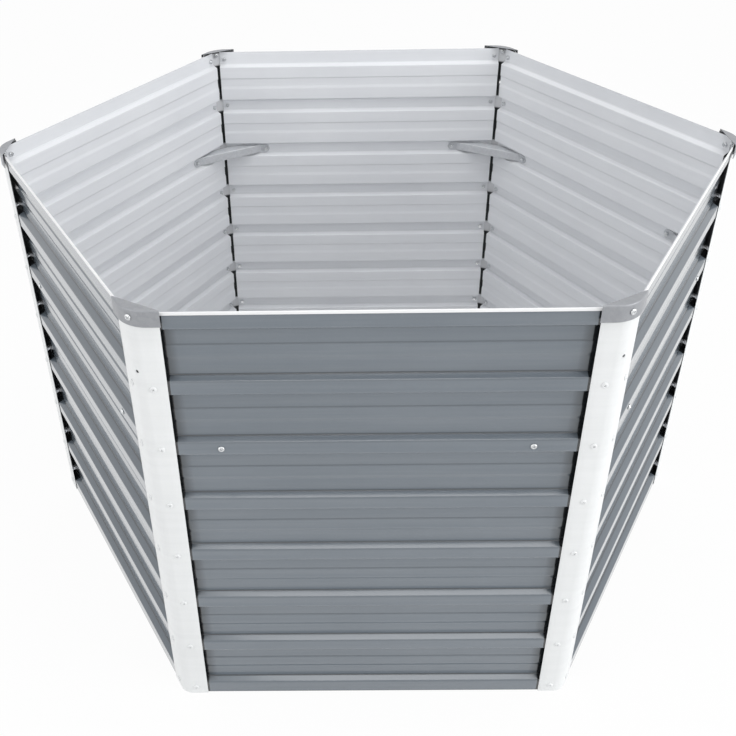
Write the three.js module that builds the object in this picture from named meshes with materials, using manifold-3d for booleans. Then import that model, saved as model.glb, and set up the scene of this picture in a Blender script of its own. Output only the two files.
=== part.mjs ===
// Six-sided raised garden bed: ribbed sheet panels bolted to bent corner posts, a flanged cap on
// top of each post, and a brace bolted across the inside of each corner. It has no floor.
// Millimetres, +Z up, origin on the ground at the centre of the bed. The front panel faces -Y.
import * as THREE from "three";
import { mergeVertices } from "three/addons/utils/BufferGeometryUtils.js";
import Module from "manifold-3d";

const wasm = await Module();
wasm.setup();

// The hexagon, measured on the plane of the panels' outer rib faces
const SIDE = 642; // between two sharp corners
const APOTHEM = SIDE * Math.cos(Math.PI / 6);
const HALF_TURN = Math.PI / 6; // half of the 60 degrees that the wall turns at a corner
const COS = Math.cos(HALF_TURN);
const SIN = Math.sin(HALF_TURN);
const BED_HEIGHT = 768; // ground to the top of a cap
const SEAT_GAP = 0.3; // air left between two pieces that touch

// Panel: a roll-formed sheet
const SHEET = 0.8;
const PANEL_BOTTOM = 2;
const PANEL_TOP = 763;
const PANEL_END_GAP = 12; // from the sharp corner to the panel's end
const PANEL_LENGTH = SIDE - 2 * PANEL_END_GAP;
const RIB_COUNT = 8;
const RIB_PITCH = 104.5;
const TOP_RIB_DROP = 16; // from the panel's top edge to the top rib's centre line
const RIB_FACE = 22; // height of the flat face of a rib
const RIB_SLOPE = 5; // height of each sloping side
const RIB_DEPTH = 10.5; // from the rib faces back to the pans between them
const BEAD_FACE = 21.6; // the shallow stiffening bead in the middle of each pan
const BEAD_SLOPE = 1.5;
const BEAD_RISE = 1.5;
const HEM_GAP = 0.9; // inside the fold at the top edge
const HEM_DROP = 4.5; // how far the fold comes down outside
const HEM_NOTCH = 28.5; // length of each end of the panel that has no hem, under the cap

// Corner post: a sheet bent round the corner
const BEND_RADIUS = 23.5; // on the plane of the rib faces
const BEND_STEPS = 6;
const FLANGE = 39.5; // from the sharp corner to the edge of a flange
const POST_SHEET = 1;
const POST_HEIGHT = 766;
const SPARE_HOLE_HEIGHTS = [670, 687]; // a spare hole in the bend, in turn from corner to corner
const SPARE_HOLE_RADIUS = 2.6;

// Corner cap: a flat top with a skirt round its outside. The skirt is bent more widely than the
// post, so that its flanges stand clear of the screws, and the top ends in a straight inner edge.
const CAP_SHEET = 1;
const CAP_HEIGHT = 25;
const CAP_BEND_RADIUS = 49; // on its inner face
const CAP_FLANGE = 42;

// Corner brace
const BRACE_SHEET = 1.5;
const BRACE_HEIGHT = 18;
const BRACE_RIB = 2; // the rib that it sits in, counted down from the top
const BRACE_REACH = 103; // from the sharp corner to its bolts
const BRACE_BEND = 12; // from a bolt to the bend where the brace leaves the panel
const BRACE_LEDGE = 24; // width of its flat top edge
const BRACE_CLEARANCE = 2.7; // between the ledge and the back of the rib
const BRACE_SEAT = -SHEET - SEAT_GAP; // the tabs bear on the back of the rib

// Fasteners, all alike: pan-head screws with hexagon nuts
const HEAD_RADIUS = 4.7;
const HEAD_TOP_RADIUS = 3.1;
const HEAD_HEIGHT = 2.3;
const SHANK_RADIUS = 2.5;
const HOLE_RADIUS = 3.1;
const NUT_FLATS = 8;
const NUT_RADIUS = NUT_FLATS / 2 / COS;
const NUT_HEIGHT = 4;
const THREAD_END = 2; // how far the shank stands out of the nut
const ROUND_SEGMENTS = 8;
const FUSED_SEGMENTS = 6; // fewer on the heads and nuts that are part of a post or panel
const POST_BOLT_REACH = 20; // from the sharp corner to the bolts of the post
const CAP_BOLT_HEIGHT = BED_HEIGHT - CAP_HEIGHT / 2;
const SINK = 0.2; // how far a fused head or nut sinks into its sheet

const SIDE_NAMES = ["back_right", "back", "back_left", "front_left", "front", "front_right"];
const CORNER_NAMES = ["right", "back_right", "back_left", "left", "front_left", "front_right"];

const PAINT = { color: 0x767f88, roughness: 0.42, metalness: 0.25 };
const POST_PAINT = { color: 0xe9ebec, roughness: 0.4, metalness: 0.1 };
const GALVANISED = { color: 0x9da1a5, roughness: 0.45, metalness: 0.8 };
const ZINC = { color: 0xc9cdd1, roughness: 0.3, metalness: 0.9 };

// ---- solids ----

function solid(geometry) {
  const bare = geometry.clone();
  bare.deleteAttribute("normal");
  bare.deleteAttribute("uv");
  const merged = mergeVertices(bare, 1e-4);
  const vertProperties = new Float32Array(merged.getAttribute("position").array);
  const triVerts = new Uint32Array(merged.getIndex().array);
  return new wasm.Manifold(new wasm.Mesh({ numProp: 3, vertProperties, triVerts }));
}

function geometryOf(body) {
  const mesh = body.getMesh();
  const geometry = new THREE.BufferGeometry();
  geometry.setAttribute("position", new THREE.BufferAttribute(mesh.vertProperties, 3));
  geometry.setIndex(new THREE.BufferAttribute(mesh.triVerts, 1));
  geometry.computeVertexNormals();
  return geometry;
}

function extrude(outline, height, bottom = 0) {
  const shape = new THREE.Shape(outline);
  const geometry = new THREE.ExtrudeGeometry(shape, { depth: height, bevelEnabled: false });
  return geometry.translate(0, 0, bottom);
}

// The outline of a bent sheet: the path of one face, then the other face, one thickness to the left.
function sheetOutline(path, thickness) {
  const normals = path.slice(1).map((point, i) => {
    const along = point.clone().sub(path[i]).normalize();
    return new THREE.Vector2(-along.y, along.x);
  });
  const far = path.map((point, i) => {
    const before = normals[Math.max(i - 1, 0)];
    const after = normals[Math.min(i, normals.length - 1)];
    const mitre = before.clone().add(after).multiplyScalar(thickness / (1 + before.dot(after)));
    return point.clone().add(mitre);
  });
  return [...path, ...far.reverse()];
}

// A cylinder or prism along +Y, from y = from to y = to.
function barAlongY(radius, from, to, segments) {
  const bar = new THREE.CylinderGeometry(radius, radius, to - from, segments);
  return bar.translate(0, (from + to) / 2, 0);
}

// ---- panel: local X along the side, +Y outwards with y = 0 on the rib faces, +Z up ----

function ribCentre(index) {
  return PANEL_TOP - TOP_RIB_DROP - RIB_PITCH * index;
}

function panelProfile() {
  const path = [new THREE.Vector2(0, PANEL_BOTTOM)];
  const add = (out, up) => path.push(new THREE.Vector2(out, up));
  for (let rib = RIB_COUNT - 1; rib > 0; rib--) {
    const panStart = ribCentre(rib) + RIB_FACE / 2;
    const panEnd = ribCentre(rib - 1) - RIB_FACE / 2;
    const beadCentre = (panStart + panEnd) / 2;
    const beadHalf = BEAD_FACE / 2;
    add(0, panStart);
    add(-RIB_DEPTH, panStart + RIB_SLOPE);
    add(-RIB_DEPTH, beadCentre - beadHalf - BEAD_SLOPE);
    add(BEAD_RISE - RIB_DEPTH, beadCentre - beadHalf);
    add(BEAD_RISE - RIB_DEPTH, beadCentre + beadHalf);
    add(-RIB_DEPTH, beadCentre + beadHalf + BEAD_SLOPE);
    add(-RIB_DEPTH, panEnd - RIB_SLOPE);
    add(0, panEnd);
  }
  add(0, PANEL_TOP - SHEET);
  add(HEM_GAP, PANEL_TOP - SHEET);
  add(HEM_GAP, PANEL_TOP - HEM_DROP);
  return sheetOutline(path, SHEET);
}

function makePanel() {
  const geometry = extrude(panelProfile(), PANEL_LENGTH, -PANEL_LENGTH / 2);
  // The profile is drawn as (outwards, up) and runs along the side.
  const upright = new THREE.Matrix4().makeBasis(
    new THREE.Vector3(0, 1, 0),
    new THREE.Vector3(0, 0, 1),
    new THREE.Vector3(1, 0, 0),
  );
  let panel = solid(geometry.applyMatrix4(upright));
  const hemDepth = 2 * (HEM_GAP + SHEET);
  const hemHeight = 2 * HEM_DROP;
  const braceHole = barAlongY(HOLE_RADIUS, -2 * SHEET, SHEET, ROUND_SEGMENTS);
  const nut = barAlongY(NUT_RADIUS, -SHEET - NUT_HEIGHT, SINK - SHEET, FUSED_SEGMENTS);
  for (const end of [-1, 1]) {
    const notch = new THREE.BoxGeometry(HEM_NOTCH, hemDepth, hemHeight);
    notch.translate(end * (PANEL_LENGTH - HEM_NOTCH) / 2, hemDepth / 2, PANEL_TOP);
    panel = panel.subtract(solid(notch));
    const holeX = end * (SIDE / 2 - BRACE_REACH);
    panel = panel.subtract(solid(braceHole.clone().translate(holeX, 0, ribCentre(BRACE_RIB))));
    const nutX = end * (SIDE / 2 - POST_BOLT_REACH);
    for (let rib = 0; rib < RIB_COUNT; rib++) {
      panel = panel.add(solid(nut.clone().translate(nutX, 0, ribCentre(rib))));
    }
  }
  return geometryOf(panel);
}

// ---- corner pieces: local +Y outwards through the corner, X = 0 on its middle plane, +Z up ----

// One face of a sheet bent round the corner, seen from above. Its flanges lie at a distance outside
// the rib faces and end at a distance from the sharp corner.
function cornerFace(offset, radius, flange) {
  const end = new THREE.Vector2(
    flange * COS + offset * SIN,
    SIDE - flange * SIN + offset * COS,
  );
  const bend = new THREE.EllipseCurve(
    0, SIDE + (offset - radius) / COS,
    radius, radius,
    Math.PI / 2 - HALF_TURN, Math.PI / 2 + HALF_TURN,
  );
  return [end, ...bend.getPoints(BEND_STEPS), new THREE.Vector2(-end.x, end.y)];
}

// The sheet between an inner face and the outer face that is one thickness outside it.
function cornerBand(offset, radius, flange, sheet, bottom, top) {
  const outer = cornerFace(offset + sheet, radius + sheet, flange);
  const inner = cornerFace(offset, radius, flange);
  return solid(extrude([...outer, ...inner.reverse()], top - bottom, bottom));
}

// Places a shape made along +Y on a flange, at a distance from the sharp corner.
function onFlange(hand, reach, height) {
  const place = new THREE.Object3D();
  place.position.set(hand * reach * COS, SIDE - reach * SIN, height);
  place.rotation.z = -hand * HALF_TURN;
  place.updateMatrix();
  return place;
}

function bendHole(radius, height) {
  const outside = SIDE + BEND_RADIUS;
  const inside = SIDE - BEND_RADIUS;
  return solid(barAlongY(radius, inside, outside, ROUND_SEGMENTS).translate(0, 0, height));
}

function makePost(spareHoleHeight) {
  const face = SEAT_GAP + POST_SHEET;
  const radius = BEND_RADIUS + SEAT_GAP;
  let post = cornerBand(SEAT_GAP, radius, FLANGE, POST_SHEET, 0, POST_HEIGHT);
  post = post.subtract(bendHole(HOLE_RADIUS, CAP_BOLT_HEIGHT));
  post = post.subtract(bendHole(SPARE_HOLE_RADIUS, spareHoleHeight));
  const head = new THREE.CylinderGeometry(
    HEAD_TOP_RADIUS, HEAD_RADIUS, HEAD_HEIGHT + SINK, FUSED_SEGMENTS,
  );
  head.translate(0, face + (HEAD_HEIGHT - SINK) / 2, 0);
  for (const hand of [-1, 1]) {
    for (let rib = 0; rib < RIB_COUNT; rib++) {
      const place = onFlange(hand, POST_BOLT_REACH, ribCentre(rib));
      post = post.add(solid(head.clone().applyMatrix4(place.matrix)));
    }
  }
  return geometryOf(post);
}

// The cap's skirt touches the post along the middle of the bend only.
function makeCap() {
  const offset = (CAP_BEND_RADIUS - BEND_RADIUS) * (1 - COS) + (2 * SEAT_GAP + POST_SHEET) * COS;
  const bottom = BED_HEIGHT - CAP_HEIGHT;
  const skirt = cornerBand(offset, CAP_BEND_RADIUS, CAP_FLANGE, CAP_SHEET, bottom, BED_HEIGHT);
  const outline = cornerFace(offset + CAP_SHEET, CAP_BEND_RADIUS + CAP_SHEET, CAP_FLANGE);
  const cap = skirt.add(solid(extrude(outline, CAP_SHEET, BED_HEIGHT - CAP_SHEET)));
  return geometryOf(cap.subtract(bendHole(HOLE_RADIUS, CAP_BOLT_HEIGHT)));
}

// A tab that lies in a rib: square where it meets the bend, round about its bolt hole.
// Local X along the side, +Y outwards, origin on the bolt's axis.
function makeBraceTab(hand) {
  const half = BRACE_HEIGHT / 2;
  const shape = new THREE.Shape();
  shape.moveTo(hand * (SINK - BRACE_BEND), half);
  shape.lineTo(hand * (SINK - BRACE_BEND), -half);
  shape.absarc(0, 0, half, -Math.PI / 2, Math.PI / 2, hand < 0);
  const hole = new THREE.Path();
  hole.absarc(0, 0, HOLE_RADIUS, 0, 2 * Math.PI);
  shape.holes.push(hole);
  const tab = new THREE.ExtrudeGeometry(shape, {
    depth: BRACE_SHEET,
    bevelEnabled: false,
    curveSegments: ROUND_SEGMENTS / 2, // three.js puts twice as many on an arc
  });
  return tab.rotateX(Math.PI / 2).translate(0, BRACE_SEAT, 0);
}

// A strip on edge between the two panels, with tabs bent into the ribs and a ledge towards the corner
function makeBrace() {
  const bottom = ribCentre(BRACE_RIB) - BRACE_HEIGHT / 2;
  const facePoint = (hand, reach) => new THREE.Vector2(
    hand * (reach * COS + BRACE_SEAT * SIN),
    SIDE - reach * SIN + BRACE_SEAT * COS,
  );
  const bendReach = BRACE_REACH - BRACE_BEND;
  const stubReach = bendReach + 2 * SINK;
  const strip = sheetOutline([
    facePoint(1, stubReach),
    facePoint(1, bendReach),
    facePoint(-1, bendReach),
    facePoint(-1, stubReach),
  ], BRACE_SHEET);
  let brace = solid(extrude(strip, BRACE_HEIGHT, bottom));

  const chord = facePoint(1, bendReach).y;
  const ledgeX = (y) => (SIDE + (BRACE_SEAT - BRACE_CLEARANCE) / COS - y) * COS / SIN;
  const ledgeInner = chord - BRACE_SHEET / 2;
  const ledgeOuter = chord + BRACE_LEDGE;
  const ledge = [
    new THREE.Vector2(ledgeX(ledgeInner), ledgeInner),
    new THREE.Vector2(ledgeX(ledgeOuter), ledgeOuter),
    new THREE.Vector2(-ledgeX(ledgeOuter), ledgeOuter),
    new THREE.Vector2(-ledgeX(ledgeInner), ledgeInner),
  ];
  brace = brace.add(solid(extrude(ledge, BRACE_SHEET, bottom + BRACE_HEIGHT - BRACE_SHEET)));

  for (const hand of [-1, 1]) {
    const place = onFlange(hand, BRACE_REACH, ribCentre(BRACE_RIB)).matrix;
    brace = brace.add(solid(makeBraceTab(hand).applyMatrix4(place)));
  }
  return geometryOf(brace);
}

// ---- fasteners: axis along +Y, y = 0 under the head or on the face that the nut bears on ----

function makeBolt(grip) {
  const tip = -grip - NUT_HEIGHT - THREAD_END;
  const profile = [
    [0, tip],
    [SHANK_RADIUS, tip],
    [SHANK_RADIUS, 0],
    [HEAD_RADIUS, 0],
    [HEAD_TOP_RADIUS, HEAD_HEIGHT],
    [0, HEAD_HEIGHT],
  ].map(([radius, y]) => new THREE.Vector2(radius, y));
  return new THREE.LatheGeometry(profile, ROUND_SEGMENTS);
}

function makeNut() {
  const nut = solid(barAlongY(NUT_RADIUS, -NUT_HEIGHT, 0, 6));
  const bore = barAlongY(SHANK_RADIUS + SEAT_GAP, -2 * NUT_HEIGHT, NUT_HEIGHT, ROUND_SEGMENTS);
  return geometryOf(nut.subtract(solid(bore)));
}

// ---- the assembly ----

const group = new THREE.Group();

function piece(name, geometry, look) {
  const mesh = new THREE.Mesh(geometry, new THREE.MeshStandardMaterial(look));
  mesh.name = name;
  return mesh;
}

const panelGeometry = makePanel();
SIDE_NAMES.forEach((name, i) => {
  const side = new THREE.Group();
  const normal = HALF_TURN + i * 2 * HALF_TURN;
  side.rotation.z = normal - Math.PI / 2;
  side.position.set(APOTHEM * Math.cos(normal), APOTHEM * Math.sin(normal), 0);
  side.add(piece(`panel_${name}`, panelGeometry, PAINT));
  group.add(side);
});

// What each bolt clamps, from under its head to its nut
const braceFront = SEAT_GAP;
const braceBack = BRACE_SEAT - BRACE_SHEET - SEAT_GAP;
const bendCentre = SIDE - BEND_RADIUS / COS;
const capFront = bendCentre + BEND_RADIUS + POST_SHEET + CAP_SHEET + 3 * SEAT_GAP;
const nutDepth = Math.sqrt(BEND_RADIUS ** 2 - (NUT_FLATS / 2) ** 2); // where its flats meet the bend
const capBack = bendCentre + nutDepth - SEAT_GAP;
const postGeometries = SPARE_HOLE_HEIGHTS.map(makePost);
const capGeometry = makeCap();
const braceGeometry = makeBrace();
const braceBoltGeometry = makeBolt(braceFront - braceBack);
const capBoltGeometry = makeBolt(capFront - capBack);
const nutGeometry = makeNut();

CORNER_NAMES.forEach((name, i) => {
  const corner = new THREE.Group();
  corner.rotation.z = i * 2 * HALF_TURN - Math.PI / 2;
  corner.add(piece(`post_${name}`, postGeometries[i % 2], POST_PAINT));
  corner.add(piece(`cap_${name}`, capGeometry, GALVANISED));
  corner.add(piece(`brace_${name}`, braceGeometry, GALVANISED));

  const capBolt = piece(`cap_bolt_${name}`, capBoltGeometry, ZINC);
  capBolt.position.set(0, capFront, CAP_BOLT_HEIGHT);
  const capNut = piece(`cap_nut_${name}`, nutGeometry, ZINC);
  capNut.position.set(0, capBack, CAP_BOLT_HEIGHT);
  corner.add(capBolt, capNut);

  for (const [hand, end] of [[-1, "a"], [1, "b"]]) {
    const place = onFlange(hand, BRACE_REACH, ribCentre(BRACE_RIB));
    const bolt = piece(`brace_bolt_${name}_${end}`, braceBoltGeometry, ZINC);
    bolt.position.y = braceFront;
    const nut = piece(`brace_nut_${name}_${end}`, nutGeometry, ZINC);
    nut.position.y = braceBack;
    place.add(bolt, nut);
    corner.add(place);
  }
  group.add(corner);
});

export default group;
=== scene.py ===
# Looks of the six-sided raised garden bed: ribbed painted panels, white corner posts, galvanised
# caps and braces, and zinc-plated screws and nuts, in a white studio.
# Lengths are millimetres up to the moment a mesh is made. Meshes, materials, lamps and the camera
# are in metres.
import math

import bmesh
import bpy
from mathutils import Matrix, Vector, noise


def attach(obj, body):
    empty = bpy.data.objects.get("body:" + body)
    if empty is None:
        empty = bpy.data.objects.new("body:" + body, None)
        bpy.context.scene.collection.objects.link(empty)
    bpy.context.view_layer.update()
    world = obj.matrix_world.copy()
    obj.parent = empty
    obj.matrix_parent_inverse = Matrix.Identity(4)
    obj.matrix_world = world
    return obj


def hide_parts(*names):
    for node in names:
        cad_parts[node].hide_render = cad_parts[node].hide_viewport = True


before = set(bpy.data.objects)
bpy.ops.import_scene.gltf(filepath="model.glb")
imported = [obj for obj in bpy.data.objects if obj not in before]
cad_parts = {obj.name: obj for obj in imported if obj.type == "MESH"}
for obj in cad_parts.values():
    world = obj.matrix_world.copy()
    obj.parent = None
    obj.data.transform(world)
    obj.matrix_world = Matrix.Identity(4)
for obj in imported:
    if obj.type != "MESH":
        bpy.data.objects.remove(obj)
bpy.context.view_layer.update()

MM = 0.001
SIDE_NAMES = ["back_right", "back", "back_left", "front_left", "front", "front_right"]
CORNER_NAMES = ["right", "back_right", "back_left", "left", "front_left", "front_right"]

# The bed's own sizes, as in the solids except where a comment says otherwise
SIDE = 642  # between two sharp corners
HALF_TURN = math.pi / 6  # half of the 60 degrees that the wall turns at a corner
COS = math.cos(HALF_TURN)
SIN = math.sin(HALF_TURN)
APOTHEM = SIDE * COS
BED_HEIGHT = 768  # ground to the top of a cap
SEAT_GAP = 0.3  # air left between two pieces that touch

SHEET = 0.8
PANEL_BOTTOM = 2
PANEL_TOP = 763
PANEL_END_GAP = 10.3  # from the sharp corner to the panel's end, a little less than in the solids
PANEL_HALF = SIDE / 2 - PANEL_END_GAP
RIB_COUNT = 8
RIB_PITCH = 104.5
TOP_RIB_DROP = 16  # from the panel's top edge to the top rib's centre line
RIB_FACE = 22  # height of the flat face of a rib
RIB_SLOPE = 5  # height of each sloping side
RIB_DEPTH = 10.5  # from the rib faces back to the pans between them
BEAD_FACE = 21.6  # the shallow stiffening bead in the middle of each pan
BEAD_SLOPE = 1.5
BEAD_RISE = 1.5
BEAD_LEAD = 4.5  # how far its lower side, gentler than in the solids, runs up into the bead
HEM_GAP = 0.9  # inside the fold at the top edge
HEM_DROP = 4.5  # how far the fold comes down outside
HEM_REACH = 40.5  # from the sharp corner to the end of the fold, under the cap
HEM_END = SIDE / 2 - HEM_REACH
SEAM_REACH = 42.4  # from the sharp corner to the end of the painted black shadow line beside a flange
SEAM_END = SIDE / 2 - SEAM_REACH
SEAM_SHADE = 15  # width of the soft painted shade beside that line

BEND_RADIUS = 23.5  # on the plane of the rib faces
FLANGE = 39.5  # from the sharp corner to the edge of a flange
POST_SHEET = 1
POST_HEIGHT = 766
SPARE_HOLE_HEIGHTS = [670, 687]  # a spare hole in the bend, in turn from corner to corner
SPARE_HOLE_RADIUS = 2.6
POST_BOLT_REACH = 20  # from the sharp corner to the bolts of the post

CAP_SHEET = 1
CAP_HEIGHT = 25
CAP_BEND_RADIUS = 49  # on its inner face
CAP_FLANGE = 42
CAP_FOLD = 2.4  # radius of the edge between skirt and top, which is sharp in the solids
CAP_OFFSET = (CAP_BEND_RADIUS - BEND_RADIUS) * (1 - COS) + (2 * SEAT_GAP + POST_SHEET) * COS
CAP_BOLT_HEIGHT = BED_HEIGHT - CAP_HEIGHT / 2

BRACE_SHEET = 1.5
BRACE_HEIGHT = 18
BRACE_RIB = 2  # the rib that it sits in, counted down from the top
BRACE_REACH = 103  # from the sharp corner to its bolts
BRACE_BEND = 12  # from a bolt to the bend where the brace leaves the panel
BRACE_LEDGE = 24  # width of its flat top edge
BRACE_CLEARANCE = 2.7  # between the ledge and the back of the rib
BRACE_SEAT = -SHEET - SEAT_GAP  # the tabs bear on the back of the rib

HEAD_RADIUS = 4.7
HEAD_HEIGHT = 2.3
SHANK_RADIUS = 2.5
HOLE_RADIUS = 3.1
NUT_FLATS = 8
NUT_HEIGHT = 4
THREAD_END = 2  # how far the shank stands out of the nut
THREAD_PITCH = 0.8
THREAD_DEPTH = 0.4

BEND_CENTRE = SIDE - BEND_RADIUS / COS
CAP_FRONT = BEND_CENTRE + BEND_RADIUS + POST_SHEET + CAP_SHEET + 3 * SEAT_GAP
CAP_BACK = BEND_CENTRE + math.sqrt(BEND_RADIUS ** 2 - (NUT_FLATS / 2) ** 2) - SEAT_GAP
BRACE_FRONT = SEAT_GAP
BRACE_BACK = BRACE_SEAT - BRACE_SHEET - SEAT_GAP


def rib_centre(index):
    """Height of a rib's centre line, counted down from the top."""
    return PANEL_TOP - TOP_RIB_DROP - RIB_PITCH * index


# ---- node helpers ----

def new_material(name):
    material = bpy.data.materials.new(name)
    material.use_nodes = True
    tree = material.node_tree
    shader = tree.nodes["Principled BSDF"]
    return material, tree, shader


def object_point(tree, stretch=(1, 1, 1)):
    """Object coordinates in metres, stretched along each axis."""
    place = tree.nodes.new("ShaderNodeTexCoord")
    mapping = tree.nodes.new("ShaderNodeMapping")
    mapping.inputs["Scale"].default_value = stretch
    tree.links.new(place.outputs["Object"], mapping.inputs["Vector"])
    return mapping.outputs["Vector"]


def noise_field(tree, point, scale, detail=2, roughness=0.5):
    field = tree.nodes.new("ShaderNodeTexNoise")
    field.inputs["Scale"].default_value = scale
    field.inputs["Detail"].default_value = detail
    field.inputs["Roughness"].default_value = roughness
    tree.links.new(point, field.inputs["Vector"])
    return field.outputs["Fac"]


def spread(tree, value, low, high, to_low=0, to_high=1):
    """Maps low..high of a value to another range and clamps it."""
    node = tree.nodes.new("ShaderNodeMapRange")
    node.inputs["From Min"].default_value = low
    node.inputs["From Max"].default_value = high
    node.inputs["To Min"].default_value = to_low
    node.inputs["To Max"].default_value = to_high
    tree.links.new(value, node.inputs["Value"])
    return node.outputs["Result"]


def blend_colours(tree, factor, first, second):
    """From the first colour at factor 0 to the second at 1; each is a tuple or a socket."""
    node = tree.nodes.new("ShaderNodeMix")
    node.data_type = "RGBA"
    tree.links.new(factor, node.inputs["Factor"])
    for socket, colour in ((node.inputs[6], first), (node.inputs[7], second)):
        if isinstance(colour, tuple):
            socket.default_value = (*colour, 1)
        else:
            tree.links.new(colour, socket)
    return node.outputs[2]


def multiply(tree, first, second):
    node = tree.nodes.new("ShaderNodeMath")
    node.operation = "MULTIPLY"
    tree.links.new(first, node.inputs[0])
    if isinstance(second, (int, float)):
        node.inputs[1].default_value = second
    else:
        tree.links.new(second, node.inputs[1])
    return node.outputs[0]


def add_bump(tree, shader, height, distance, strength):
    """Adds a bump, after any that the shader has already."""
    node = tree.nodes.new("ShaderNodeBump")
    node.inputs["Distance"].default_value = distance
    node.inputs["Strength"].default_value = strength
    tree.links.new(height, node.inputs["Height"])
    if shader.inputs["Normal"].is_linked:
        tree.links.new(shader.inputs["Normal"].links[0].from_socket, node.inputs["Normal"])
    tree.links.new(node.outputs["Normal"], shader.inputs["Normal"])


def bend_field(tree, low, high, to_low, to_high):
    """From the mark that a sheet's vertices carry: 1 on an outside bend, rubbed and with a painted
    highlight, -1 in a hollow one under painted shade and -2 in a painted black shadow beside a
    flange."""
    mark = tree.nodes.new("ShaderNodeAttribute")
    mark.attribute_name = "bend"
    return spread(tree, mark.outputs["Fac"], low, high, to_low, to_high)


def edge_field(tree, low, high):
    """1 on outside edges and 0 on flats, from the mesh's pointiness."""
    geometry = tree.nodes.new("ShaderNodeNewGeometry")
    return spread(tree, geometry.outputs["Pointiness"], low, high)


# ---- materials ----

# The near-black of painted shade: in hollow bends, beside the posts' flanges, along the foot and in
# the fold
PAINTED_SHADE_BLACK = (0.012, 0.014, 0.016)
BARE_EDGE = (0.62, 0.635, 0.65)


def coil_paint(name, deep, light, worn, roughness, peel, hollow=1.0, gloss=0.0):
    """Baked coating on sheet: soft mottling between a deep and a light colour, with specks,
    rolling streaks and rubbed bends in a worn one, the rubbed bends partly a painted highlight.
    Hollow bends, and the points marked below -1, take painted shade towards black. Peel is the
    height of its orange peel, hollow the share of the colour that is left under the painted shade
    in a hollow bend, and gloss the weight of a clear coat."""
    material, tree, shader = new_material(name)
    point = object_point(tree)
    cloud = noise_field(tree, point, scale=5, detail=4, roughness=0.6)
    colour = blend_colours(tree, spread(tree, cloud, 0.3, 0.7), deep, light)
    speck = spread(tree, noise_field(tree, point, scale=900), 0.62, 0.74, to_high=0.35)
    colour = blend_colours(tree, speck, colour, worn)
    rolled = object_point(tree, stretch=(0.35, 0.35, 12))
    streak = noise_field(tree, rolled, scale=8, detail=3, roughness=0.6)
    colour = blend_colours(tree, spread(tree, streak, 0.35, 0.75, to_high=0.3), colour, worn)

    # Rubbed wear on outside bends, which also stands in as a painted highlight there
    patchy = noise_field(tree, point, scale=40, detail=3)
    patchy = spread(tree, patchy, 0.4, 0.7, to_low=0.1)
    rub_and_highlight = multiply(tree, bend_field(tree, 0, 1, 0, 0.4), patchy)
    colour = blend_colours(tree, rub_and_highlight, colour, worn)
    # Painted shade in hollow bends, and a painted black shadow line where the marks go below -1
    crease_shade = bend_field(tree, -1, 0, hollow, 1)
    shadow_line = bend_field(tree, -2, -1, 0.03, 1)
    dark = spread(tree, multiply(tree, crease_shade, shadow_line), 0, 1, to_low=1, to_high=0)
    colour = blend_colours(tree, dark, colour, PAINTED_SHADE_BLACK)
    tree.links.new(colour, shader.inputs["Base Color"])

    satin = spread(tree, streak, 0.3, 0.7, roughness - 0.03, roughness + 0.04)
    tree.links.new(satin, shader.inputs["Roughness"])
    shader.inputs["IOR"].default_value = 1.5
    shader.inputs["Coat Weight"].default_value = gloss
    shader.inputs["Coat Roughness"].default_value = 0.12
    add_bump(tree, shader, noise_field(tree, point, scale=520), distance=peel, strength=0.5)
    add_bump(tree, shader, noise_field(tree, point, scale=7), distance=0.0006, strength=0.35)
    return material


def panel_paint():
    return coil_paint(
        "panel blue grey", deep=(0.130, 0.156, 0.184), light=(0.144, 0.171, 0.200),
        worn=(0.22, 0.243, 0.266), roughness=0.22, peel=0.00003, hollow=0.3, gloss=0.85,
    )


def back_coat():
    return coil_paint(
        "panel back coat", deep=(0.755, 0.77, 0.80), light=(0.80, 0.815, 0.84),
        worn=(0.70, 0.715, 0.74), roughness=0.46, peel=0.00003, hollow=0.75,
    )


def hem_coat():
    """The back coat where it is folded out over the top edge, made lighter as a painted highlight.
    """
    return coil_paint(
        "panel hem", deep=(0.83, 0.84, 0.85), light=(0.88, 0.885, 0.89),
        worn=(0.74, 0.75, 0.76), roughness=0.3, peel=0.00002,
    )


def post_paint():
    return coil_paint(
        "post white", deep=(0.79, 0.805, 0.81), light=(0.825, 0.84, 0.845),
        worn=(0.70, 0.715, 0.72), roughness=0.34, peel=0.00002,
    )


def post_back():
    """The inside of the posts, black where it faces the pans of the panels, out of the light."""
    return coil_paint(
        "post inside", deep=(0.62, 0.63, 0.65), light=(0.68, 0.69, 0.71),
        worn=(0.5, 0.51, 0.53), roughness=0.5, peel=0.00003, hollow=0.0,
    )


def galvanised(name, dark, light, metallic):
    """Hot-dipped sheet: dull grey with faint crystals of different brightness."""
    material, tree, shader = new_material(name)
    point = object_point(tree)
    crystals = tree.nodes.new("ShaderNodeTexVoronoi")
    crystals.inputs["Scale"].default_value = 210
    crystals.inputs["Randomness"].default_value = 1
    tree.links.new(point, crystals.inputs["Vector"])
    split = tree.nodes.new("ShaderNodeSeparateColor")
    tree.links.new(crystals.outputs["Color"], split.inputs["Color"])
    spangle = split.outputs["Red"]
    colour = blend_colours(tree, spangle, dark, light)
    dull = noise_field(tree, point, scale=30, detail=4, roughness=0.6)
    colour = blend_colours(tree, spread(tree, dull, 0.4, 0.75, to_high=0.5), colour, dark)
    bright = multiply(tree, edge_field(tree, 0.53, 0.6), 0.4)
    colour = blend_colours(tree, bright, colour, BARE_EDGE)
    tree.links.new(colour, shader.inputs["Base Color"])
    shader.inputs["Metallic"].default_value = metallic
    satin = spread(tree, split.outputs["Green"], 0, 1, to_low=0.38, to_high=0.46)
    tree.links.new(satin, shader.inputs["Roughness"])
    add_bump(tree, shader, spangle, distance=0.00001, strength=0.2)
    add_bump(tree, shader, noise_field(tree, point, scale=900), distance=0.00002, strength=0.4)
    return material


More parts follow.
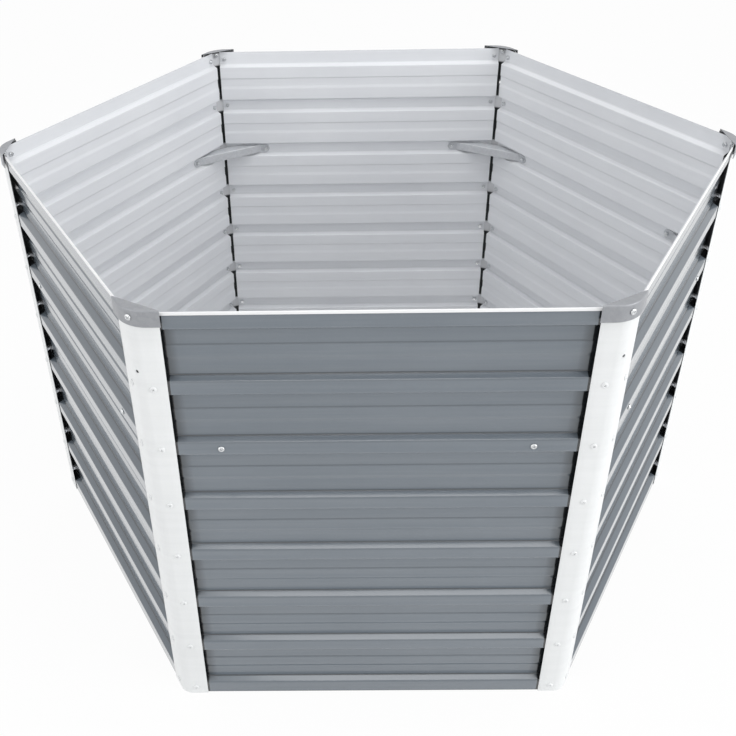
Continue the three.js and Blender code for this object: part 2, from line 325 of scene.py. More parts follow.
def cap_skin():
    return galvanised(
        "galvanised cap", dark=(0.295, 0.305, 0.325), light=(0.33, 0.34, 0.36), metallic=0.3,
    )


def cap_underside():
    """The inside of the caps, darkened as painted shade, since little light reaches it."""
    return galvanised(
        "cap underside", dark=(0.05, 0.052, 0.056), light=(0.07, 0.072, 0.076), metallic=0.2,
    )


def brace_skin():
    return galvanised(
        "galvanised brace", dark=(0.50, 0.515, 0.54), light=(0.57, 0.585, 0.61), metallic=0.15,
    )


def zinc():
    """Bright plating on small turned parts, a little smeared."""
    material, tree, shader = new_material("zinc plating")
    point = object_point(tree)
    smear = noise_field(tree, point, scale=350, detail=3, roughness=0.6)
    clean, smeared = (0.72, 0.735, 0.75), (0.58, 0.595, 0.60)
    colour = blend_colours(tree, spread(tree, smear, 0.35, 0.7), clean, smeared)
    tree.links.new(colour, shader.inputs["Base Color"])
    shader.inputs["Metallic"].default_value = 1
    satin = spread(tree, smear, 0.3, 0.7, to_low=0.2, to_high=0.36)
    tree.links.new(satin, shader.inputs["Roughness"])
    add_bump(tree, shader, noise_field(tree, point, scale=1800), distance=0.00002, strength=0.5)
    return material


PANEL_PAINT = panel_paint()
BACK_COAT = back_coat()
HEM_COAT = hem_coat()
POST_PAINT = post_paint()
POST_BACK = post_back()
CAP_SKIN = cap_skin()
CAP_UNDERSIDE = cap_underside()
BRACE_SKIN = brace_skin()
ZINC = zinc()


# ---- mesh helpers ----

MERGE_DISTANCE = 1e-7  # metres


def add_object(name, data):
    thing = bpy.data.objects.new(name, data)
    bpy.context.scene.collection.objects.link(thing)
    return thing


def clean_mesh(mesh, merge=False):
    """Turns the faces outwards, and first merges the points that lie in one place if asked."""
    work = bmesh.new()
    work.from_mesh(mesh)
    if merge:
        bmesh.ops.remove_doubles(work, verts=work.verts, dist=MERGE_DISTANCE)
    bmesh.ops.recalc_face_normals(work, faces=work.faces)
    work.to_mesh(mesh)
    work.free()


class Build:
    """Gathers vertices and faces in millimetres and makes one piece of them."""

    def __init__(self):
        self.points = []
        self.faces = []
        self.looks = []
        self.marks = []

    def add(self, points, faces, looks, place=None, marks=None):
        """Looks are material numbers, one or a list; marks are what bend_field reads."""
        start = len(self.points)
        self.marks.extend(marks or [0] * len(points))
        for point in points:
            self.points.append(place @ Vector(point) if place else Vector(point))
        for face in faces:
            self.faces.append([start + i for i in face])
        self.looks.extend(looks if isinstance(looks, list) else [looks] * len(faces))

    def mesh(self, name):
        mesh = bpy.data.meshes.new(name)
        mesh.from_pydata([point * MM for point in self.points], [], self.faces)
        return mesh

    def piece(self, name, materials, slot, nodes=(), bevel=0, sharp=35):
        """Makes the piece, on the bed's one body, in place of the nodes that it replaces."""
        mesh = self.mesh(name)
        for material in materials:
            mesh.materials.append(material)
        mesh.polygons.foreach_set("material_index", self.looks)
        mesh.attributes.new("bend", "FLOAT", "POINT").data.foreach_set("value", self.marks)
        clean_mesh(mesh, merge=True)
        thing = add_object(name, mesh)
        if bevel:
            bevel_edges(thing, bevel)
        thing.data.shade_smooth()
        thing.data.set_sharp_from_angle(angle=math.radians(sharp))
        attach(thing, "root")
        if nodes:
            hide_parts(*nodes)
        return thing


def apply_modifiers(thing):
    depsgraph = bpy.context.evaluated_depsgraph_get()
    baked = bpy.data.meshes.new_from_object(thing.evaluated_get(depsgraph))
    thing.modifiers.clear()
    old = thing.data
    thing.data = baked
    bpy.data.meshes.remove(old)


def bevel_edges(thing, width):
    modifier = thing.modifiers.new("edges", "BEVEL")
    modifier.width = width * MM
    modifier.segments = 2
    modifier.limit_method = "ANGLE"
    modifier.angle_limit = math.radians(60)
    modifier.use_clamp_overlap = True
    apply_modifiers(thing)


def fillet(path, steps):
    """Rounds the corners of a path of (a, b, radius) and returns plain points."""
    points = [Vector(path[0][:2])]
    for before, corner, after in zip(path, path[1:], path[2:]):
        at = Vector(corner[:2])
        back = (Vector(before[:2]) - at).normalized()
        ahead = (Vector(after[:2]) - at).normalized()
        half = back.angle(ahead) / 2
        radius = corner[2]
        straight = half > math.pi / 2 - 0.01
        if radius <= 0 or straight:
            points.append(at)
            continue
        reach = radius / math.tan(half)
        centre = at + (back + ahead).normalized() * radius / math.sin(half)
        start = at + back * reach - centre
        end = at + ahead * reach - centre
        sweep = start.angle_signed(end)
        for i in range(steps + 1):
            turn = -sweep * i / steps
            cos, sin = math.cos(turn), math.sin(turn)
            turned_start = Vector((start.x * cos - start.y * sin, start.x * sin + start.y * cos))
            points.append(centre + turned_start)
    points.append(Vector(path[-1][:2]))
    return points


def offset_path(points, distance):
    """The same path moved to its left."""
    normals = []
    for start, end in zip(points, points[1:]):
        along = (end - start).normalized()
        normals.append(Vector((-along.y, along.x)))
    moved = []
    for i, point in enumerate(points):
        before = normals[max(i - 1, 0)]
        after = normals[min(i, len(normals) - 1)]
        moved.append(point + (before + after) * distance / (1 + before.dot(after)))
    return moved


def subdivide(points, longest):
    """Splits the long straight runs of a path."""
    result = [points[0]]
    for start, end in zip(points, points[1:]):
        count = max(1, math.ceil((end - start).length / longest))
        for i in range(1, count + 1):
            result.append(start.lerp(end, i / count))
    return result


def shell(front, back, look_back=0):
    """A closed sheet between two grids of points of the same size: its points, faces and looks.
    Its front and its rim have look 0."""
    rows, columns = len(front), len(front[0])
    points = [p for row in front for p in row] + [p for row in back for p in row]
    under = rows * columns
    faces, looks = [], []
    for i in range(rows - 1):
        for j in range(columns - 1):
            a = i * columns + j
            faces.append([a, a + 1, a + columns + 1, a + columns])
            looks.append(0)
            faces.append([under + k for k in (a, a + columns, a + columns + 1, a + 1)])
            looks.append(look_back)
    rim = [(0, j) for j in range(columns)]
    rim += [(i, columns - 1) for i in range(1, rows)]
    rim += [(rows - 1, j) for j in range(columns - 2, -1, -1)]
    rim += [(i, 0) for i in range(rows - 2, 0, -1)]
    rim = [i * columns + j for i, j in rim]
    for a, b in zip(rim, rim[1:] + rim[:1]):
        faces.append([b, a, under + a, under + b])
        looks.append(0)
    return points, faces, looks


def side_place(index):
    """From a side's own axes, X along it and +Y outwards from the rib faces, to the bed's."""
    normal = HALF_TURN + index * 2 * HALF_TURN
    shift = Matrix.Translation((APOTHEM * math.cos(normal), APOTHEM * math.sin(normal), 0))
    return shift @ Matrix.Rotation(normal - math.pi / 2, 4, "Z")


def corner_place(index):
    """From a corner's own axes, +Y outwards through it, to the bed's."""
    return Matrix.Rotation(index * 2 * HALF_TURN - math.pi / 2, 4, "Z")


def flange_place(hand, reach, height):
    """On a flange, in a corner's own axes, at a distance from the sharp corner."""
    shift = Matrix.Translation((hand * reach * COS, SIDE - reach * SIN, height))
    return shift @ Matrix.Rotation(-hand * HALF_TURN, 4, "Z")


# ---- fasteners: axis along +Y, y = 0 under the head or on the face that a nut bears on ----

def ring_points(radius, y, segments):
    points = []
    for k in range(segments):
        turn = 2 * math.pi * k / segments
        points.append((radius * math.sin(turn), y, radius * math.cos(turn)))
    return points


def ring_faces(rings, segments):
    """The faces between rings of points that follow one another."""
    faces = []
    for i in range(rings - 1):
        for k in range(segments):
            a = i * segments + k
            b = i * segments + (k + 1) % segments
            faces.append([a, b, b + segments, a + segments])
    return faces


def end_faces(rings, segments):
    """The faces that close the last ring and the first."""
    last = [(rings - 1) * segments + k for k in range(segments)]
    first = [segments - 1 - k for k in range(segments)]
    return [last, first]


def lathe(profile, segments):
    """Turns a profile of (radius, y) about the Y axis and closes both ends."""
    points = []
    for radius, y in profile:
        points += ring_points(radius, y, segments)
    return points, ring_faces(len(profile), segments) + end_faces(len(profile), segments)


def head_shape(segments=28):
    """A pan head with a cross recess: the recess is sunk into the rings about the axis."""
    rings = [
        (HEAD_RADIUS - 0.15, 0), (HEAD_RADIUS, 0.2), (HEAD_RADIUS, 0.75),
        (HEAD_RADIUS - 0.2, 1.2), (HEAD_RADIUS - 0.75, 1.7), (HEAD_RADIUS - 1.6, 2.1),
        (2.6, 2.24), (2.2, 2.27), (1.75, HEAD_HEIGHT), (1.3, HEAD_HEIGHT), (0.85, HEAD_HEIGHT),
        (0.4, HEAD_HEIGHT), (0.01, HEAD_HEIGHT),
    ]
    crown = 2.2  # the recess is in what lies higher
    arm_half, arm_reach = 0.5, 2.3
    depth, slope_start, slope_length = 1.5, 2.4, 0.9
    points, faces = lathe(rings, segments)
    sunk = []
    for x, y, z in points:
        across = min(abs(x), abs(z))
        out = max(abs(x), abs(z))
        if y > crown and across < arm_half and out < arm_reach:
            y -= depth * min(1, (slope_start - out) / slope_length)
        sunk.append((x, y, z))
    return sunk, faces


def thread_shape(start, end, segments=16):
    """A shank with a screw thread, from y = start down to y = end."""
    rows_per_turn, runout = 6, 3
    rows = math.ceil((start - end) / THREAD_PITCH * rows_per_turn)
    points = []
    for i in range(rows + 1):
        y = start + (end - start) * i / rows
        fade = min(1, i / runout, (rows - i) / runout)
        for k in range(segments):
            phase = (y / THREAD_PITCH + k / segments) % 1
            depth = THREAD_DEPTH * abs(2 * phase - 1)
            radius = SHANK_RADIUS - (depth if fade == 1 else THREAD_DEPTH * (1 - fade / 2))
            turn = 2 * math.pi * k / segments
            points.append((radius * math.sin(turn), y, radius * math.cos(turn)))
    return points, ring_faces(rows + 1, segments) + end_faces(rows + 1, segments)


def nut_shape(steps=4):
    """A hexagon nut with its corners chamfered on both faces, from y = 0 to y = -NUT_HEIGHT."""
    segments = 6 * steps
    flat = NUT_FLATS / 2
    shoulder, chamfer = flat - 0.15, 0.55
    bore = SHANK_RADIUS + 0.05
    mouth, mouth_depth = bore + 0.35, 0.4
    points, faces = [], []

    def ring(radius_at, height_at):
        """A ring of points whose radius and height follow from the hexagon's radius there."""
        for k in range(segments):
            turn = 2 * math.pi * k / segments
            inside = (turn + math.pi / 6) % (math.pi / 3) - math.pi / 6
            hexagon = flat / math.cos(inside)
            radius = radius_at(hexagon)
            points.append((radius * math.cos(turn), height_at(hexagon), radius * math.sin(turn)))

    ring(lambda r: bore, lambda r: -mouth_depth)
    ring(lambda r: mouth, lambda r: 0)
    ring(lambda r: shoulder, lambda r: 0)
    ring(lambda r: r, lambda r: -chamfer * (r - shoulder))
    ring(lambda r: r, lambda r: -NUT_HEIGHT + chamfer * (r - shoulder))
    ring(lambda r: shoulder, lambda r: -NUT_HEIGHT)
    ring(lambda r: mouth, lambda r: -NUT_HEIGHT)
    ring(lambda r: bore, lambda r: -NUT_HEIGHT + mouth_depth)
    for a, b, c, d in ring_faces(len(points) // segments + 1, segments):
        faces.append([a, b, c % len(points), d % len(points)])
    return points, faces


HEAD = head_shape()
NUT = nut_shape()


def turned(place, degrees):
    """The same place, with the piece turned about its own axis. The degrees differ from one
    fastener to the next, since nobody lines them up."""
    return place @ Matrix.Rotation(math.radians(degrees), 4, "Y")


def add_screw(build, place, grip, degrees):
    """A screw with its head at a place and its nut's face at the depth of its grip."""
    sunk_in_head = 0.1
    end = -grip - NUT_HEIGHT - THREAD_END
    build.add(*HEAD, 0, turned(place, degrees))
    build.add(*thread_shape(sunk_in_head, end), 0, turned(place, degrees))


# ---- panels ----

def panel_path():
    """The outer face of the sheet from the bottom up, as (outwards, up, bend radius, mark)."""
    pan = -RIB_DEPTH
    # Bend radii
    crisp, tight, soft, wide, rounded, gentle = 1.0, 1.6, 2.0, 2.4, 3.84, 12.0
    fold = HEM_GAP / 2
    # Marks: below 0 painted shade, darkest along the foot; above 0 rubbed wear and painted
    # highlight
    foot, hollow, bead_hollow, rib_top, bead_edge, rib_foot = -1.8, -1, -0.5, -0.22, 0.2, 0.3
    path = [(0, PANEL_BOTTOM, 0, foot)]
    for rib in range(RIB_COUNT - 1, 0, -1):
        pan_start = rib_centre(rib) + RIB_FACE / 2
        pan_end = rib_centre(rib - 1) - RIB_FACE / 2
        bead_start = (pan_start + pan_end) / 2 - BEAD_FACE / 2
        bead_end = (pan_start + pan_end) / 2 + BEAD_FACE / 2
        path += [
            (0, pan_start, wide, rib_top),
            (pan, pan_start + RIB_SLOPE, tight, hollow),
            (pan, bead_start - BEAD_SLOPE, gentle, 0),
            (pan + BEAD_RISE, bead_start + BEAD_LEAD, gentle, 0),
            (pan + BEAD_RISE, bead_end, soft, bead_edge),
            (pan, bead_end + BEAD_SLOPE, crisp, bead_hollow),
            (pan, pan_end - RIB_SLOPE, tight, hollow),
            (0, pan_end, rounded, rib_foot),
        ]
    path += [
        (0, PANEL_TOP - SHEET, fold, 0),
        (HEM_GAP, PANEL_TOP - SHEET, fold, 0),
        (HEM_GAP, PANEL_TOP - HEM_DROP, 0, 0),
    ]
    return path


def run_stops(length, mark, next_mark):
    """The points in a straight run of the profile, as (share of its length, mark): each bend's
    mark fades out close beside it."""
    shortest, longest_step = 8, 9
    near, far, faded = 0.5, 1.5, 0.4
    if length <= shortest:
        return []
    middle = length - 2 * far
    count = max(1, math.ceil(middle / longest_step))
    stops = [(near / length, faded * mark), (far / length, 0)]
    stops += [((far + middle * k / count) / length, 0) for k in range(1, count)]
    stops += [(1 - far / length, 0), (1 - near / length, faded * next_mark)]
    return stops


def marked_profile(path):
    """The rounded path with more points beside its bends, and a mark at each point."""
    arcs = [[Vector(path[0][:2])]]
    for before, corner, after in zip(path, path[1:], path[2:]):
        arcs.append(fillet([before, corner, after], steps=4)[1:-1])
    arcs.append([Vector(path[-1][:2])])
    points, marks = list(arcs[0]), [path[0][3]]
    for i in range(1, len(arcs)):
        start, end = arcs[i - 1][-1], arcs[i][0]
        for share, mark in run_stops((end - start).length, path[i - 1][3], path[i][3]):
            points.append(start.lerp(end, share))
            marks.append(mark)
        points += arcs[i]
        marks += [path[i][3]] * len(arcs[i])
    return points, marks


def panel_columns():
    """(x, hemmed) of each column of points: where the fold ends there are two at one x."""
    count = 36
    clear = 5  # room that the even columns leave to those at the joint
    even = [-PANEL_HALF + 2 * PANEL_HALF * i / count for i in range(count + 1)]
    plain = [(x, False) for x in even if abs(x) > HEM_END + clear]
    folded = [(x, True) for x in even if abs(x) < SEAM_END - SEAM_SHADE - clear]
    for step in (0, 0.6, 0.35 * SEAM_SHADE, SEAM_SHADE):
        folded += [(SEAM_END - step, True), (step - SEAM_END, True)]
    ends = [(end * HEM_END, hemmed) for end in (-1, 1) for hemmed in (False, True)]

    def order(column):
        x, hemmed = column
        return x, hemmed == (x < 0)

    return sorted(plain + folded + ends, key=order)


def dent(x, z, seed):
    """How far the wide flats between the ribs draw in, in the middle of a panel."""
    deepest, stiff_end = 0.4, 45
    wave_length, wave_height = 130, 60
    along = max(0, 1 - (x / (PANEL_HALF - stiff_end)) ** 4)
    wave = noise.noise(Vector((x / wave_length + seed * 7.3, z / wave_height, seed * 3.1)))
    return deepest * along * (0.5 + 0.5 * wave)


def panel_grid(path, columns, fold_start, edge, seed):
    """Rows of points of one face. Beside the hem, the rows of the fold shrink to the top edge."""
    pan_start, pan_full = 0.8 * RIB_DEPTH, 0.15 * RIB_DEPTH
    rows = []
    for i, point in enumerate(path):
        row = []
        for x, hemmed in columns:
            at = point if hemmed or i <= fold_start else edge
            deep = min(1, max(0, -at.x - pan_start) / pan_full)
            row.append(Vector((x, at.x - deep * dent(x, at.y, seed), at.y)))
        rows.append(row)
    return rows


def hem_looks(points, faces, looks):
    """The looks, with the hem's own where the back coat is folded out over the top edge."""
    fold_height = PANEL_TOP - 2.5 * SHEET
    result = []
    for face, look in zip(faces, looks):
        high = max(points[i].z for i in face) > fold_height
        outside = min(points[i].y for i in face) > -SHEET / 2
        result.append(2 if look == 1 and high and outside else look)
    return result


def seam_shade(x, deep):
    """Painted shadow beside a post's flange: a black line, then a soft painted shade in the pans.
    """
    black, shade = 2, 0.8
    reach = abs(x)
    if reach >= SEAM_END:
        return black
    if reach <= SEAM_END - SEAM_SHADE:
        return 0
    return shade * deep * (reach - SEAM_END + SEAM_SHADE) / SEAM_SHADE


def panel_marks(outer, marks, columns, fold_start):
    """Marks of the outer face's points, with painted shadow at the posts, then of the inner face's,
    where a bend that is hollow outside stands out. The fold has a painted dark shade line inside."""
    fold_shade_line = -1.5
    result = []
    for point, mark in zip(outer, marks):
        deep = -point.x / RIB_DEPTH
        for x, _ in columns:
            shade = seam_shade(x, deep)
            result.append(min(mark, -shade) if shade else mark)
    inside = [marks[0]] + [-mark for mark in marks[1:]]
    inside[fold_start + 1] = fold_shade_line
    for mark in inside:
        result += [mark] * len(columns)
    return result


def make_panel(index, name):
    outer, marks = marked_profile(panel_path())
    inner = offset_path(outer, SHEET)
    on_face, fold_bottom = 0.001, PANEL_TOP - 1
    fold_start = max(i for i, p in enumerate(outer) if p.x < on_face and p.y < fold_bottom)
    columns = panel_columns()
    front = panel_grid(outer, columns, fold_start, Vector((0, PANEL_TOP)), index)
    back = panel_grid(inner, columns, fold_start, Vector((-SHEET, PANEL_TOP)), index)
    points, faces, looks = shell(front, back, look_back=1)
    looks = hem_looks(points, faces, looks)
    bends = panel_marks(outer, marks, columns, fold_start)
    build = Build()
    build.add(points, faces, looks, side_place(index), bends)
    build.piece(f"ribbed_panel_{name}", [PANEL_PAINT, BACK_COAT, HEM_COAT], "panel_paint",
                [f"panel_{name}"])


def make_panel_nuts(index, name):
    """The nuts and screw ends of the post's screws, behind the ribs."""
    nuts = Build()
    end_start, end_reach = -1, -NUT_HEIGHT - 1
    for end in (-1, 1):
        for rib in range(RIB_COUNT):
            x = end * (SIDE / 2 - POST_BOLT_REACH)
            spot = side_place(index) @ Matrix.Translation((x, -SHEET, rib_centre(rib)))
            seat = turned(spot, 37 * rib + 53 * index + 19 * end)
            nuts.add(*NUT, 0, seat)
            nuts.add(*thread_shape(end_start, end_reach), 0, seat)
    nuts.piece(f"panel_nuts_{name}", [ZINC], "zinc")


# ---- corner pieces ----

def corner_face(offset, radius, flange, steps=24):
    """One face of a sheet bent round the corner, seen from above."""
    end = Vector((flange * COS + offset * SIN, SIDE - flange * SIN + offset * COS))
    centre = SIDE + (offset - radius) / COS
    arc = []
    for i in range(steps + 1):
        turn = math.pi / 2 - HALF_TURN + 2 * HALF_TURN * i / steps
        arc.append(Vector((radius * math.cos(turn), centre + radius * math.sin(turn))))
    straight = [end, end.lerp(arc[0], 0.5)]
    mirrored = [Vector((-p.x, p.y)) for p in reversed(straight)]
    return straight + arc + mirrored


def cut_holes(thing, holes):
    """Bores round holes of (place, radius) along Y through a piece."""
    segments, reach = 24, 30
    cutter = Build()
    for place, radius in holes:
        cutter.add(*lathe([(radius, -reach), (radius, reach)], segments), 0, place)
    mesh = cutter.mesh("cutter")
    clean_mesh(mesh)
    other = add_object("cutter", mesh)
    modifier = thing.modifiers.new("holes", "BOOLEAN")
    modifier.operation = "DIFFERENCE"
    modifier.solver = "EXACT"
    modifier.object = other
    apply_modifiers(thing)
    bpy.data.objects.remove(other)
    bpy.data.meshes.remove(mesh)


def post_heights():
    """Rows of points up a post, closer together at the edges of the ribs."""
    edge = 1.5
    heights = {0, edge, POST_HEIGHT - edge, POST_HEIGHT}
    for rib in range(RIB_COUNT):
        for step in (-15, -12, 12, 15):
            heights.add(rib_centre(rib) + step)
    for rib in range(RIB_COUNT - 1):
        heights.add(rib_centre(rib) - RIB_PITCH / 2)
    return sorted(height for height in heights if 0 <= height <= POST_HEIGHT)


def hidden_pan(height):
    """1 where a post's inside faces the pans, out of the light, and 0 where it meets a rib."""
    rib_reach = RIB_FACE / 2 + RIB_SLOPE / 2
    nearest = min(abs(height - rib_centre(rib)) for rib in range(RIB_COUNT))
    return 1 if nearest > rib_reach else 0


def make_post(index, name):
    place = corner_place(index)
    outer_face = corner_face(SEAT_GAP + POST_SHEET, BEND_RADIUS + SEAT_GAP + POST_SHEET, FLANGE)
    inner_face = corner_face(SEAT_GAP, BEND_RADIUS + SEAT_GAP, FLANGE)
    outer = [[Vector((*p, z)) for p in outer_face] for z in post_heights()]
    inner = [[Vector((*p, z)) for p in inner_face] for z in post_heights()]
    marks = [0] * (len(outer) * len(outer[0]))
    for row in inner:
        marks += [-hidden_pan(point.z) for point in row]
    build = Build()
    build.add(*shell(outer, inner, look_back=1), place, marks)
    post = build.piece(f"corner_post_{name}", [POST_PAINT, POST_BACK], "post_paint",
                       [f"post_{name}"], bevel=0.25)
    spare = place @ Matrix.Translation((0, SIDE, SPARE_HOLE_HEIGHTS[index % 2]))
    bolt = place @ Matrix.Translation((0, SIDE, CAP_BOLT_HEIGHT))
    cut_holes(post, [(spare, SPARE_HOLE_RADIUS), (bolt, HOLE_RADIUS)])


def make_post_screws(index, name):
    screws = Build()
    for hand in (-1, 1):
        for rib in range(RIB_COUNT):
            spot = flange_place(hand, POST_BOLT_REACH, rib_centre(rib))
            seat = spot @ Matrix.Translation((0, SEAT_GAP + POST_SHEET, 0))
            degrees = 41 * rib + 29 * index + 13 * hand
            screws.add(*HEAD, 0, turned(corner_place(index) @ seat, degrees))
    screws.piece(f"post_screws_{name}", [POST_PAINT], "post_paint")


def cap_rows(face, lid, fold, inner_edge):
    """Rows of points up a cap's skirt, over the fold and across its flat top."""
    fold_steps = 6
    inward = []
    for i in range(len(face)):
        along = (face[min(i + 1, len(face) - 1)] - face[max(i - 1, 0)]).normalized()
        inward.append(Vector((-along.y, along.x)))
    bottom = BED_HEIGHT - CAP_HEIGHT
    rows = [[Vector((*p, bottom + step)) for p in face] for step in (0, 1, 9, 17)]
    for step in range(fold_steps + 1):
        turn = math.pi / 2 * step / fold_steps
        draw = fold * (1 - math.cos(turn))
        height = lid - fold + fold * math.sin(turn)
        moved = [p + n * draw for p, n in zip(face, inward)]
        rows.append([Vector((p.x, max(p.y, inner_edge), height)) for p in moved])
    edge = rows[-1]
    for share in (0.25, 0.6, 1):
        rows.append([Vector((p.x, p.y + (inner_edge - p.y) * share, lid)) for p in edge])
    return rows


def make_cap(index, name):
    outer = corner_face(CAP_OFFSET + CAP_SHEET, CAP_BEND_RADIUS + CAP_SHEET, CAP_FLANGE)
    inner = corner_face(CAP_OFFSET, CAP_BEND_RADIUS, CAP_FLANGE)
    inner_edge = inner[0].y
    front = cap_rows(outer, BED_HEIGHT, CAP_FOLD, inner_edge)
    back = cap_rows(inner, BED_HEIGHT - CAP_SHEET, CAP_FOLD - CAP_SHEET, inner_edge)
    build = Build()
    build.add(*shell(front, back, look_back=1), corner_place(index))
    build.piece(f"corner_cap_{name}", [CAP_SKIN, CAP_UNDERSIDE], "galvanised", [f"cap_{name}"],
                bevel=0.2)


def make_cap_fasteners(index, name):
    place = corner_place(index)
    screw, nut = Build(), Build()
    front = place @ Matrix.Translation((0, CAP_FRONT, CAP_BOLT_HEIGHT))
    add_screw(screw, front, CAP_FRONT - CAP_BACK, 23 * index + 10)
    screw.piece(f"cap_screw_{name}", [ZINC], "zinc", [f"cap_bolt_{name}"])
    back = place @ Matrix.Translation((0, CAP_BACK, CAP_BOLT_HEIGHT))
    nut.add(*NUT, 0, back)
    nut.piece(f"cap_hexnut_{name}", [ZINC], "zinc", [f"cap_nut_{name}"])


def brace_plan():
    """The brace's outward face seen from above, from one tab's tip to the other, as
    (x, y, bend radius)."""
    bend_radius = 3.2

    def face_point(hand, reach):
        return (
            hand * (reach * COS + BRACE_SEAT * SIN),
            SIDE - reach * SIN + BRACE_SEAT * COS,
        )

    tip = BRACE_REACH + BRACE_HEIGHT / 2
    bend = BRACE_REACH - BRACE_BEND
    return [
        (*face_point(1, tip), 0),
        (*face_point(1, bend), bend_radius),
        (*face_point(-1, bend), bend_radius),
        (*face_point(-1, tip), 0),
    ]


def brace_strip(centre):
    """The upright strip with its two tabs. The tabs' ends are round, and between the bends the
    top edge makes room for the fold of the ledge."""
    fold_clear, fold_room = 9, 2.4
    thinnest = 0.1
    half = BRACE_HEIGHT / 2
    plan = brace_plan()
    tip, bend = Vector(plan[0][:2]), Vector(plan[1][:2])
    along = (bend - tip).normalized()

    def half_height(point, step):
        if step > 0 and abs(point.x) < bend.x - fold_clear:
            return half - fold_room
        into = (Vector((abs(point.x), point.y)) - tip).dot(along)
        if into >= half:
            return half
        return math.sqrt(max(thinnest ** 2, half ** 2 - (half - into) ** 2))

    outer = subdivide(fillet(plan, steps=6), longest=3)
    inner = offset_path(outer, BRACE_SHEET)
    front, back = [], []
    for step in (-1, -0.92, -0.6, -0.2, 0.2, 0.6, 0.92, 1):
        heights = [centre + step * half_height(point, step) for point in outer]
        front.append([Vector((*point, height)) for point, height in zip(outer, heights)])
        back.append([Vector((*point, height)) for point, height in zip(inner, heights)])
    return shell(front, back)


def brace_ledge(centre):
    """The ledge, folded off the strip's top edge between the two bends. It is a little thinner
    than the strip, so that no faces of the two lie in one place."""
    inset, fold_drop, fold_radius = 0.05, 6, 2.0
    end_clear, end_slope = 7, 4
    bend_x, chord = brace_plan()[1][:2]
    top_edge = centre + BRACE_HEIGHT / 2
    profile = [
        (chord - BRACE_SHEET + inset, top_edge - fold_drop, 0),
        (chord - BRACE_SHEET + inset, top_edge, fold_radius),
        (chord + BRACE_LEDGE, top_edge, 0),
    ]
    line = subdivide(fillet(profile, steps=6), longest=6)
    under = offset_path(line, 2 * inset - BRACE_SHEET)

    def half_width(y):
        to_panel = (SIDE + (BRACE_SEAT - BRACE_CLEARANCE) / COS - y) * COS / SIN
        return min(to_panel, bend_x - end_clear + max(0, y - chord) * end_slope)

    across = [i / 10 - 1 for i in range(21)]  # from -1 to 1
    top = [[Vector((half_width(p.x) * s, p.x, p.y)) for s in across] for p in line]
    low = [[Vector((half_width(o.x) * s, p.x, p.y)) for s in across] for p, o in zip(under, line)]
    return shell(top, low)


def make_brace(index, name):
    centre = rib_centre(BRACE_RIB)
    build = Build()
    build.add(*brace_strip(centre), corner_place(index))
    build.add(*brace_ledge(centre), corner_place(index))
    build.piece(f"corner_brace_{name}", [BRACE_SKIN], "galvanised", [f"brace_{name}"], bevel=0.2)


def make_brace_fasteners(index, name):
    screws, nuts = Build(), Build()
    for hand in (-1, 1):
        spot = corner_place(index) @ flange_place(hand, BRACE_REACH, rib_centre(BRACE_RIB))
        front = spot @ Matrix.Translation((0, BRACE_FRONT, 0))
        back = spot @ Matrix.Translation((0, BRACE_BACK, 0))
        degrees = 31 * index + 17 * hand
        add_screw(screws, front, BRACE_FRONT - BRACE_BACK, degrees)
        nuts.add(*NUT, 0, turned(back, degrees))
    screws.piece(f"brace_screws_{name}", [ZINC], "zinc",
                 [f"brace_bolt_{name}_a", f"brace_bolt_{name}_b"])
    nuts.piece(f"brace_hexnuts_{name}", [ZINC], "zinc",
               [f"brace_nut_{name}_a", f"brace_nut_{name}_b"])


for side_index, side_name in enumerate(SIDE_NAMES):
    make_panel(side_index, side_name)
    make_panel_nuts(side_index, side_name)
for corner_index, corner_name in enumerate(CORNER_NAMES):
    make_post(corner_index, corner_name)
    make_post_screws(corner_index, corner_name)
    make_cap(corner_index, corner_name)
    make_cap_fasteners(corner_index, corner_name)
    make_brace(corner_index, corner_name)
    make_brace_fasteners(corner_index, corner_name)


# ---- studio ----

WHITE = (1, 1, 1, 1)


def backdrop_rays(tree):
    """1 for rays that see the backdrop as a picture: camera, glossy and transmission rays."""
    path = tree.nodes.new("ShaderNodeLightPath")
    total = path.outputs["Is Camera Ray"]
    for kind in ("Is Glossy Ray", "Is Transmission Ray"):
        node = tree.nodes.new("ShaderNodeMath")
        node.operation = "ADD"
        node.use_clamp = True
        tree.links.new(total, node.inputs[0])
        tree.links.new(path.outputs[kind], node.inputs[1])
        total = node.outputs[0]
    return total


def blend_shaders(tree, factor, first, second, output_kind):
    """Ends a tree in a mix of two shaders: the first at factor 0, the second at 1."""
    mix = tree.nodes.new("ShaderNodeMixShader")
    output = tree.nodes.new(output_kind)
    tree.links.new(factor, mix.inputs["Fac"])
    tree.links.new(first.outputs[0], mix.inputs[1])
    tree.links.new(second.outputs[0], mix.inputs[2])
    tree.links.new(mix.outputs[0], output.inputs["Surface"])


def white_light(tree, kind, strength):
    node = tree.nodes.new(kind)
    node.inputs["Color"].default_value = WHITE
    node.inputs["Strength"].default_value = strength
    return node


def make_world(light_strength):
    """White to the camera and in reflections, and softer as a light."""
    world = bpy.data.worlds.new("studio")
    bpy.context.scene.world = world
    world.use_nodes = True
    tree = world.node_tree
    tree.nodes.clear()
    light = white_light(tree, "ShaderNodeBackground", light_strength)
    white = white_light(tree, "ShaderNodeBackground", 1)
    blend_shaders(tree, backdrop_rays(tree), light, white, "ShaderNodeOutputWorld")


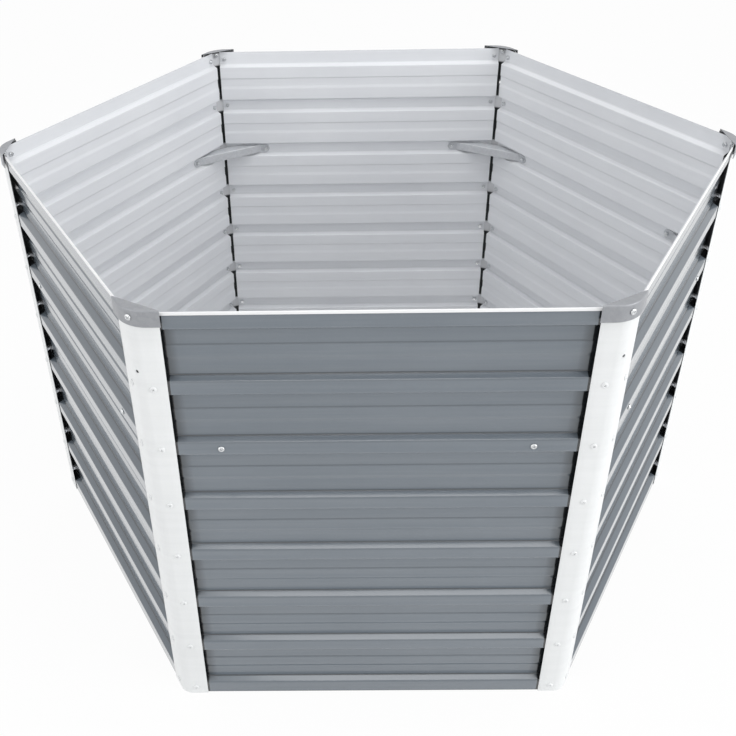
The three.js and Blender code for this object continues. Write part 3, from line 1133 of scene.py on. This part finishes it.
def floor_paint(white_share):
    material = bpy.data.materials.new("studio floor")
    material.use_nodes = True
    tree = material.node_tree
    tree.nodes.clear()
    matt = tree.nodes.new("ShaderNodeBsdfDiffuse")
    grain = noise_field(tree, object_point(tree), scale=3, detail=3)
    colour = blend_colours(tree, grain, (0.86, 0.86, 0.86), (0.88, 0.88, 0.88))
    tree.links.new(colour, matt.inputs["Color"])
    glow = white_light(tree, "ShaderNodeEmission", 1)
    seen = multiply(tree, backdrop_rays(tree), white_share)
    blend_shaders(tree, seen, matt, glow, "ShaderNodeOutputMaterial")
    return material


def make_floor(size, white_share):
    """A pale matt floor that shows as white round the bed and keeps its shadow."""
    half = size / 2
    corners = [(-half, -half, 0), (half, -half, 0), (half, half, 0), (-half, half, 0)]
    mesh = bpy.data.meshes.new("floor")
    mesh.from_pydata(corners, [], [(0, 1, 2, 3)])
    mesh.materials.append(floor_paint(white_share))
    add_object("floor", mesh)


def make_softbox(name, place, aim, size, power):
    lamp = bpy.data.lights.new(name, "AREA")
    lamp.shape = "SQUARE"
    lamp.size = size
    lamp.energy = power
    thing = add_object(name, lamp)
    thing.location = place
    thing.rotation_euler = (Vector(aim) - Vector(place)).to_track_quat("-Z", "Y").to_euler()


def make_camera():
    """The photograph's viewpoint, found by fitting a pinhole camera to the bed's corners. The
    focal length and the shifts are in pixels of the photograph."""
    place = Vector((-0.05371441, -1.59369187, 1.39160966))
    yaw, pitch, roll = -0.01665, 0.60029, -0.01956
    image_size, sensor_width = 736, 36
    focal_length, shift_right, shift_down = 957.91241, -43.24706, -4.44037
    ahead = Vector((
        math.sin(yaw) * math.cos(pitch), math.cos(yaw) * math.cos(pitch), -math.sin(pitch),
    ))
    level = Vector((math.cos(yaw), -math.sin(yaw), 0))
    upright = level.cross(ahead)
    right = level * math.cos(roll) + upright * math.sin(roll)
    up = right.cross(ahead)
    turn = Matrix((right, up, -ahead)).transposed().to_4x4()
    lens = bpy.data.cameras.new("camera")
    lens.sensor_width = sensor_width
    lens.lens = focal_length / image_size * sensor_width
    lens.shift_x = -shift_right / image_size
    lens.shift_y = shift_down / image_size
    camera = add_object("camera", lens)
    camera.matrix_world = Matrix.Translation(place) @ turn
    bpy.context.scene.camera = camera


make_world(light_strength=0.62)
make_floor(size=24, white_share=0.95)
make_softbox("right softbox", place=(3.9, -2.0, 1.6), aim=(0, 0, 0.5), size=2.8, power=95)
make_softbox("left softbox", place=(-3.5, -2.3, 1.6), aim=(0, 0, 0.5), size=2.8, power=44)
make_softbox("top softbox", place=(0.3, -0.6, 3.8), aim=(0, 0, 0.4), size=2.2, power=38)
make_camera()
bpy.context.scene.view_settings.view_transform = "Standard"
